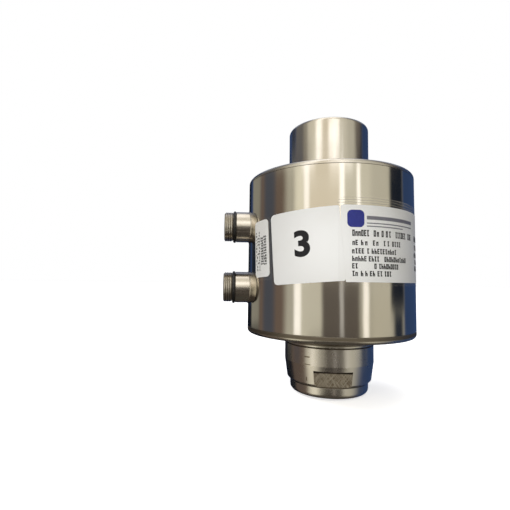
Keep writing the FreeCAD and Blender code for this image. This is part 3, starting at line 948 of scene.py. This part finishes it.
seal_rubber = mottled("seal_rubber", rubber_tones, 700.0, 4.0, {"Roughness": 0.38}, spread=(0.45, 0.8))
section_centre = (oring_seat_radius + oring_section, oring_middle)
section = arc(section_centre, oring_section, 0, 360 - 360 / oring_steps, oring_steps - 1)

for which, height in connector_heights.items():
    ring = laid(turned_mesh(section, closed=True, segments=barrel_segments), height)
    ring = settle(meshed(which + "_sealing_ring", ring), seal_rubber)
    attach(ring, "root")
    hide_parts(which + "_oring")

# Contact inserts and contacts. Black moulded insulators with five gold-plated sockets each, pushed into the
# barrels from behind. The plain solids are kept and only smoothed.
join_distance = 0.0005
insert_black = (0.018, 0.018, 0.020, 1.0)
gold_tones = ((0.95, 0.70, 0.32, 1.0), (0.70, 0.48, 0.22, 1.0))


def smoothed_copy(node, name, angle=30):
    """Copy of a solid's mesh with its loose triangles joined and its round faces smooth."""
    mesh = bmesh.new()
    mesh.from_mesh(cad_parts[node].data)
    bmesh.ops.remove_doubles(mesh, verts=mesh.verts, dist=join_distance * mm)
    return meshed(name, mesh, angle)


def grained(material, scale, detail, depth, strength):
    """Adds a fine grain to a material's surface."""
    tree = material.node_tree
    grain = noise(tree, object_place(tree), scale, detail)
    tree.links.new(relief(tree, grain, depth, strength), tree.nodes["Principled BSDF"].inputs["Normal"])


insert_plastic = new_material("insert_plastic", {"Base Color": insert_black, "Roughness": 0.45})[0]
grained(insert_plastic, 2500.0, 3.0, 0.02, 0.6)
contact_gold = mottled("contact_gold", gold_tones, 900.0, 4.0, {"Metallic": 1.0, "Roughness": 0.25})

for which in connector_heights:
    for node, name, material, slot in (
        (which + "_contact_insert", which + "_insulator", insert_plastic, "insert_plastic"),
        (which + "_contacts", which + "_sockets", contact_gold, "contact_gold"),
    ):
        piece = settle(smoothed_copy(node, name), material)
        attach(piece, "root")
        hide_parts(node)

# Labels. White self-adhesive polyester with rounded corners, stuck round the can by hand, two of them a
# little out of square. The big left one carries a plain numeral, the one beside it printed lines under a
# plain blue heading, and the small one by the connectors three columns of fine print.
label_thickness = 0.15
label_face = housing_radius + label_thickness
label_corners = (2.2, 2.2)
corner_steps = 8
wrap_step = 0.7
joint_gap = 0.03
number_lean = 4.4
side_lean = 3.6
paper_tones = ((0.77, 0.78, 0.80, 1.0), (0.73, 0.73, 0.73, 1.0))


def label_outline(start, width, low, height, corners=label_corners, lean=0.0):
    """Outline of a label, its corners round when seen straight on. x is length round the can, y is height."""
    half = label_face * math.sin(width / housing_radius / 2)
    middle = low + height / 2
    left, right = corners
    points = []
    for x, y, radius, angle in (
        (half - right, low + right, right, -90),
        (half - right, low + height - right, right, 0),
        (left - half, low + height - left, left, 90),
        (left - half, low + left, left, 180),
    ):
        points += arc((x, y - middle), radius, angle, angle + 90, corner_steps)
    turned = [Matrix.Rotation(math.radians(lean), 2) @ Vector(point) for point in points]
    return [(start + width / 2 + math.asin(point.x / label_face) * housing_radius, middle + point.y)
            for point in turned]


def wrap(mesh, base, thickness):
    """Thickens flat faces outwards and bends them round the can at a radius."""
    lowest = min(vert.co.x for vert in mesh.verts)
    highest = max(vert.co.x for vert in mesh.verts)
    cuts = int((highest - lowest) / wrap_step)
    for index in range(1, cuts + 1):
        where = lowest + index * (highest - lowest) / (cuts + 1)
        everything = mesh.verts[:] + mesh.edges[:] + mesh.faces[:]
        bmesh.ops.bisect_plane(mesh, geom=everything, plane_co=(where, 0.0, 0.0), plane_no=(1.0, 0.0, 0.0))
    for vert in mesh.verts:
        vert.co.z = base
    made = bmesh.ops.extrude_face_region(mesh, geom=mesh.faces[:], use_keep_orig=True)["geom"]
    for element in made:
        if isinstance(element, bmesh.types.BMVert):
            element.co.z = base + thickness
    for vert in mesh.verts:
        angle = math.pi + vert.co.x / housing_radius
        vert.co = Vector((vert.co.z * math.cos(angle), vert.co.z * math.sin(angle), vert.co.y)) * mm
    bmesh.ops.recalc_face_normals(mesh, faces=mesh.faces)
    return mesh


def patch(outlines, base, thickness, left_edge=None, rim=0.0):
    """Flat outlines, wrapped round the can as one thin mesh. A rim is a border in the second material."""
    whole = bmesh.new()
    for outline in outlines:
        mesh = bmesh.new()
        mesh.faces.new([mesh.verts.new((x, y, 0.0)) for x, y in outline])
        if left_edge:
            along = Vector(left_edge[1]) - Vector(left_edge[0])
            outwards = Vector((along.y, -along.x, 0.0)).normalized()
            everything = mesh.verts[:] + mesh.edges[:] + mesh.faces[:]
            joint = Vector((*left_edge[0], 0.0)) + outwards * joint_gap
            bmesh.ops.bisect_plane(mesh, geom=everything, plane_co=joint, plane_no=outwards, clear_inner=True)
        if rim:
            for face in bmesh.ops.inset_region(mesh, faces=mesh.faces[:], thickness=rim)["faces"]:
                face.material_index = 1
        wrap(mesh, base, thickness)
        data = bpy.data.meshes.new("patch")
        mesh.to_mesh(data)
        mesh.free()
        whole.from_mesh(data)
    return whole


label_white = mottled("label_white", paper_tones, 35.0, 3.0, {"Roughness": 0.42}, spread=(0.35, 0.8))
grained(label_white, 900.0, 4.0, 0.01, 0.4)

number_outline = label_outline(start=31.7, width=35.1, low=59.8, height=34.5, corners=(2.2, 0.9),
                               lean=number_lean)
data_outline = label_outline(start=66.0, width=70.4, low=60.6, height=35.2, corners=(0.9, 2.2))
side_outline = label_outline(start=16.7, width=12.4, low=62.5, height=29.1, lean=side_lean)
number_right_edge = number_outline[corner_steps:corner_steps + 2]

for node, name, outline, left_edge in (
    ("number_label", "numeral_label", number_outline, None),
    ("data_label", "printed_label", data_outline, number_right_edge),
    ("side_label", "narrow_label", side_outline, None),
):
    piece = settle(meshed(name, patch([outline], housing_radius, label_thickness, left_edge)), label_white)
    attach(piece, "root")
    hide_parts(node)

# Numeral. A condensed black 3, printed in the middle of the left label and leaning with it. It is a thin
# layer of ink that stands on the label.
print_thickness = 0.015
numeral_place = (48.2, 78.2)
numeral_height = 12.6
numeral_width = 7.7
numeral_weight = 0.035

ink_tones = ((0.006, 0.006, 0.008, 1.0), (0.018, 0.018, 0.022, 1.0))
ink_values = {"Roughness": 0.5, "Specular IOR Level": 0.25}
print_black = mottled("print_black", ink_tones, 1500.0, 3.0, ink_values)

numeral_text = bpy.data.curves.new("numeral", "FONT")
numeral_text.body = "3"
numeral_text.offset = numeral_weight
numeral_object = bpy.data.objects.new("numeral", numeral_text)
bpy.context.scene.collection.objects.link(numeral_object)
numeral_data = bpy.data.meshes.new_from_object(
    numeral_object.evaluated_get(bpy.context.evaluated_depsgraph_get()))
bpy.data.objects.remove(numeral_object)
numeral = bmesh.new()
numeral.from_mesh(numeral_data)
glyph_low = Vector((min(vert.co.x for vert in numeral.verts), min(vert.co.y for vert in numeral.verts)))
glyph_high = Vector((max(vert.co.x for vert in numeral.verts), max(vert.co.y for vert in numeral.verts)))
glyph_middle = (glyph_low + glyph_high) / 2
for vert in numeral.verts:
    across = (vert.co.x - glyph_middle.x) / (glyph_high.x - glyph_low.x) * numeral_width
    up = (vert.co.y - glyph_middle.y) / (glyph_high.y - glyph_low.y) * numeral_height
    leaning = Matrix.Rotation(math.radians(number_lean), 2) @ Vector((across, up))
    vert.co.x, vert.co.y = leaning + Vector(numeral_place)
numeral = settle(meshed("printed_numeral", wrap(numeral, label_face, print_thickness)), print_black)
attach(numeral, "root")

# Printed lines. The text of the data label is shown as rows of made-up signs that spell nothing, printed in
# black. Each row is a height and the stretches of the can's azimuth that its words take.
sign_height = 2.45
sign_width = 1.13
sign_pitch = 1.34
first_row_growth = 1.2
word_rows = (
    (82.9, ((88.3, 98.5), (100.9, 105.0), (106.4, 108.0), (109.1, 113.8), (117.0, 127.3), (129.7, 134.9),
            (141.5, 155.0))),
    (78.5, ((88.3, 91.8), (92.9, 97.8), (100.3, 104.6), (107.6, 109.4), (110.4, 112.2), (114.0, 121.8),
            (142.0, 154.0))),
    (74.7, ((88.0, 95.4), (96.7, 98.5), (99.6, 117.8), (141.0, 157.0))),
    (71.2, ((88.1, 96.8), (97.8, 104.8), (108.1, 127.2), (143.0, 155.0))),
    (67.9, ((88.1, 91.6), (101.3, 103.0), (104.3, 119.3), (142.0, 152.0))),
    (64.5, ((88.1, 91.6), (93.0, 94.8), (95.6, 97.4), (98.4, 102.0), (103.2, 106.9), (108.0, 113.5))),
)
sign_shapes = (
    ((-0.30, 0.0, 0.44, 1.0), (0.30, 0.0, 0.44, 1.0), (0.0, 0.39, 0.4, 0.22), (0.0, -0.39, 0.4, 0.22)),
    ((-0.28, 0.0, 0.48, 1.0), (0.15, 0.39, 0.7, 0.22), (0.15, -0.39, 0.7, 0.22), (0.1, 0.0, 0.6, 0.22)),
    ((-0.05, -0.08, 0.52, 0.84), (0.0, 0.40, 0.9, 0.20), (0.2, -0.39, 0.5, 0.22)),
    ((-0.30, -0.12, 0.44, 0.76), (0.30, -0.12, 0.44, 0.76), (0.0, 0.15, 0.4, 0.24)),
    ((-0.28, 0.0, 0.48, 1.0), (0.1, 0.0, 0.5, 0.24), (0.30, -0.24, 0.44, 0.52)),
)


def print_tree():
    """Geometry nodes for a printed word: made-up signs in a row, turned, and bent round the can."""
    numbers = ("Start", "Length", "Level", "Turn", "Sign height", "Sign width", "Pitch", "Radius",
               "Can radius", "Thickness")
    tree, given = shape_tree("print", numbers, [("Seed", "NodeSocketInt")])

    def together(x=0.0, y=0.0, z=0.0):
        return add(tree, "ShaderNodeCombineXYZ", {"X": x, "Y": y, "Z": z}).outputs["Vector"]

    signs = add(tree, "GeometryNodeJoinGeometry")
    for shape in sign_shapes:
        sign = add(tree, "GeometryNodeJoinGeometry")
        for x, y, width, height in shape:
            bar = add(tree, "GeometryNodeMeshCube", {"Size": (width, height, 1.0)}).outputs["Mesh"]
            placed = add(tree, "GeometryNodeTransform", {"Geometry": bar, "Translation": (x, y, 0.0)})
            tree.links.new(placed.outputs["Geometry"], sign.inputs["Geometry"])
        whole = add(tree, "GeometryNodeGeometryToInstance", {"Geometry": sign.outputs["Geometry"]})
        tree.links.new(whole.outputs["Instances"], signs.inputs["Geometry"])

    fitting = computed(tree, "FLOOR", computed(tree, "DIVIDE", given["Length"], given["Pitch"]))
    count = computed(tree, "MAXIMUM", fitting, 1.0)
    step = together(computed(tree, "DIVIDE", given["Length"], count))
    first = vector(tree, "MULTIPLY", step, (0.5, 0.5, 0.5))
    row = add(tree, "GeometryNodeMeshLine", {
        "Count": count,
        "Start Location": first,
        "Offset": step,
    }, mode="OFFSET")
    choice = add(tree, "FunctionNodeRandomValue", {"Seed": given["Seed"]}, data_type="INT")
    lowest = [one for one in choice.inputs if one.identifier == "Min_002"][0]
    highest = [one for one in choice.inputs if one.identifier == "Max_002"][0]
    drawn = [one for one in choice.outputs if one.identifier == "Value_002"][0]
    lowest.default_value = 0
    highest.default_value = len(sign_shapes) - 1
    many = add(tree, "GeometryNodeInstanceOnPoints", {
        "Points": row.outputs["Mesh"],
        "Instance": signs.outputs["Geometry"],
        "Pick Instance": True,
        "Instance Index": drawn,
        "Scale": together(given["Sign width"], given["Sign height"], given["Thickness"]),
    })
    real = add(tree, "GeometryNodeRealizeInstances", {"Geometry": many.outputs["Instances"]})
    laid_out = add(tree, "GeometryNodeTransform", {
        "Geometry": real.outputs["Geometry"],
        "Translation": together(given["Start"], given["Level"]),
        "Rotation": together(z=given["Turn"]),
    })

    position = add(tree, "GeometryNodeInputPosition").outputs["Position"]
    flat = add(tree, "ShaderNodeSeparateXYZ", {"Vector": position}).outputs
    angle = computed(tree, "ADD", computed(tree, "DIVIDE", flat["X"], given["Can radius"]), math.pi)
    out = computed(tree, "ADD", flat["Z"], given["Radius"])
    bent = together(
        computed(tree, "MULTIPLY", out, computed(tree, "COSINE", angle)),
        computed(tree, "MULTIPLY", out, computed(tree, "SINE", angle)),
        flat["Y"])
    wrapped = add(tree, "GeometryNodeSetPosition", {
        "Geometry": laid_out.outputs["Geometry"],
        "Position": bent,
    })
    put_out(tree, wrapped.outputs["Geometry"], given["Material"])
    return tree


sign_tree = print_tree()


def printed_word(start, length, level, turn, height, width, pitch, seed):
    """Mesh of one word: start is the length round the can to its near end, turn is in degrees."""
    return grown("word", sign_tree, {
        "Start": start * mm,
        "Length": length * mm,
        "Level": level * mm,
        "Turn": math.radians(turn),
        "Sign height": height * mm,
        "Sign width": width * mm,
        "Pitch": pitch * mm,
        "Radius": (label_face + print_thickness / 2) * mm,
        "Can radius": housing_radius * mm,
        "Thickness": print_thickness * mm,
        "Seed": seed,
        "Material": print_black,
    })


lines = bmesh.new()
for index, (level, words) in enumerate(word_rows):
    height = sign_height * (first_row_growth if index == 0 else 1.0)
    for place, azimuths in enumerate(words):
        start, end = (math.radians(azimuth) * housing_radius for azimuth in azimuths)
        seed = 10 * index + place
        lines.from_mesh(printed_word(start, end - start, level, 0.0, height, sign_width, sign_pitch, seed))
lines = settle(meshed("printed_lines", lines), print_black)
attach(lines, "root")

# Heading of the data label. A plain blue field with round corners, and beside it a grey-blue bar and two thin
# lines, all printed on the label. They stand for nothing.
blue_tones = ((0.008, 0.014, 0.18, 1.0), (0.014, 0.024, 0.25, 1.0))
grey_tones = ((0.10, 0.10, 0.14, 1.0), (0.20, 0.20, 0.24, 1.0))
print_blue = mottled("print_blue", blue_tones, 900.0, 3.0, ink_values)
print_grey = mottled("print_grey", grey_tones, 900.0, 3.0, {"Roughness": 0.5})

heading_field = label_outline(start=68.9, width=8.0, low=85.5, height=8.0)
bar_start = 78.1
heading_bars = [
    label_outline(bar_start, width, low, height, corners=(corner, corner))
    for width, low, height, corner in (
        (31.4, 89.2, 1.7, 0.3),
        (31.0, 87.3, 0.5, 0.1),
        (22.0, 85.9, 0.5, 0.1),
    )
]
for name, outlines, material in (
    ("heading_field", [heading_field], print_blue),
    ("heading_bars", heading_bars, print_grey),
):
    piece = settle(meshed(name, patch(outlines, label_face, print_thickness)), material)
    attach(piece, "root")

# Fine print of the narrow label. Three columns of the same signs, printed sideways and leaning with the
# label. A column is its place round the can, its lower end, its length, and its signs' height and pitch.
columns = (
    (20.4, 65.4, 20.8, 3.8, 1.5),
    (24.2, 68.6, 14.6, 2.3, 1.3),
    (26.7, 68.5, 15.4, 2.1, 1.3),
)
first_column_seed = 70
column_turn = 90.0 + side_lean
column_sign_share = 0.75
fine_print = bmesh.new()
for seed, (start, low, length, height, pitch) in enumerate(columns, first_column_seed):
    width = column_sign_share * pitch
    fine_print.from_mesh(printed_word(start, length, low, column_turn, height, width, pitch, seed))
fine_print = settle(meshed("printed_columns", fine_print), print_black)
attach(fine_print, "root")

# Clear films. Thin adhesive film over the data label and over the narrow label, a little larger than they
# are, so that its edge lies on the steel. It keeps the print from rubbing off, and it has wrinkled above the
# data label.
film_thickness = 0.05
film_lift = 0.03
film_rim = 0.35
label_top = 95.8
wrinkle_pitch = 1.25
wrinkle_wander = 2.4
wrinkle_start = 0.1
wrinkle_full = 0.5
film_wave_scale = 55.0
film_wave_depth = 0.05
film_tint = (0.85, 0.82, 0.76, 1.0)


def clear_film(name, haze, wrinkle_haze):
    """Clear film that is hazy along its wrinkles, level folds above the data label."""
    material, tree, shader = new_material(name, {"Base Color": film_tint, "Roughness": 0.15})
    place = object_place(tree)
    level = add(tree, "ShaderNodeSeparateXYZ", {"Vector": place}).outputs["Z"]
    waves = noise(tree, place, film_wave_scale, 2.0)
    shifted = computed(tree, "MULTIPLY_ADD", waves, wrinkle_wander * mm, level)
    phase = computed(tree, "MULTIPLY", shifted, 2 * math.pi / (wrinkle_pitch * mm))
    fold = ramp(tree, computed(tree, "SINE", phase), 0.75, 1.0)
    above = ramp(tree, level, (label_top + wrinkle_start) * mm, (label_top + wrinkle_full) * mm)
    wrinkled = computed(tree, "MULTIPLY", computed(tree, "MULTIPLY", fold, above), wrinkle_haze)
    tree.links.new(computed(tree, "ADD", wrinkled, haze), shader.inputs["Alpha"])
    tree.links.new(relief(tree, waves, film_wave_depth, 0.5), shader.inputs["Normal"])
    return material


film_clear = clear_film("film_clear", 0.012, 0.20)
film_edge = clear_film("film_edge", 0.22, 0.0)
large_outline = label_outline(start=64.7, width=73.4, low=58.9, height=40.5)
narrow_outline = label_outline(start=16.7, width=14.1, low=60.8, height=31.65, lean=side_lean)
for node, name, outline in (
    ("data_film", "large_film", large_outline),
    ("side_film", "narrow_film", narrow_outline),
):
    film = patch([outline], label_face + film_lift, film_thickness, rim=film_rim)
    piece = settle(meshed(name, film), film_clear, film_edge)
    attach(piece, "root")
    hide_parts(node)

# Inner pieces. The circuit board and its parts, the wires and the gauges are sealed in the can, so their
# solids stay as they are and get the finish of their material. A row is a finish's slot, colour, roughness,
# metal, how much darker its mottling is, the mottling's scale, and the nodes that it is for.
sides = ("left", "front", "right", "rear")
inner_finishes = (
    ("board_laminate", (0.03, 0.20, 0.08, 1.0), 0.35, 0.0, 0.3, 700.0, ("circuit_board",)),
    ("chip_plastic", (0.02, 0.02, 0.022, 1.0), 0.5, 0.0, 0.2, 2500.0,
     ("converter_chip", "processor_chip", "transceiver_chip")),
    ("crystal_case", (0.70, 0.70, 0.70, 1.0), 0.3, 1.0, 0.15, 900.0, ("crystal",)),
    ("capacitor_can", (0.75, 0.75, 0.76, 1.0), 0.3, 1.0, 0.15, 900.0, ("capacitors",)),
    ("resistor_body", (0.03, 0.03, 0.035, 1.0), 0.4, 0.0, 0.2, 2500.0, ("trim_resistors",)),
    ("terminal_plastic", (0.03, 0.16, 0.30, 1.0), 0.45, 0.0, 0.15, 1500.0,
     ("lower_terminal_block", "upper_terminal_block")),
    ("standoff_brass", (0.78, 0.58, 0.28, 1.0), 0.3, 1.0, 0.2, 900.0, ("board_standoffs",)),
    ("screw_steel", (0.62, 0.62, 0.62, 1.0), 0.3, 1.0, 0.2, 900.0, ("board_screws",)),
    ("wire_sheath", (0.55, 0.08, 0.06, 1.0), 0.45, 0.0, 0.15, 900.0,
     ("lower_connector_leads", "upper_connector_leads", "bridge_wires")),
    ("gauge_foil", (0.72, 0.52, 0.30, 1.0), 0.35, 0.6, 0.2, 1500.0,
     tuple("strain_gauge_" + side for side in sides)),
    ("strip_laminate", (0.62, 0.45, 0.22, 1.0), 0.45, 0.0, 0.2, 1500.0,
     tuple("terminal_strip_" + side for side in sides)),
)
for slot, colour, roughness, metallic, variation, scale, nodes in inner_finishes:
    darker = tuple(channel * (1.0 - variation) for channel in colour[:3]) + (1.0,)
    finish = mottled(slot, (colour, darker), scale, 4.0, {"Roughness": roughness, "Metallic": metallic})
    for node in nodes:
        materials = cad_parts[node].data.materials
        if materials:
            materials[0] = finish
        else:
            materials.append(finish)

low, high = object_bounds()
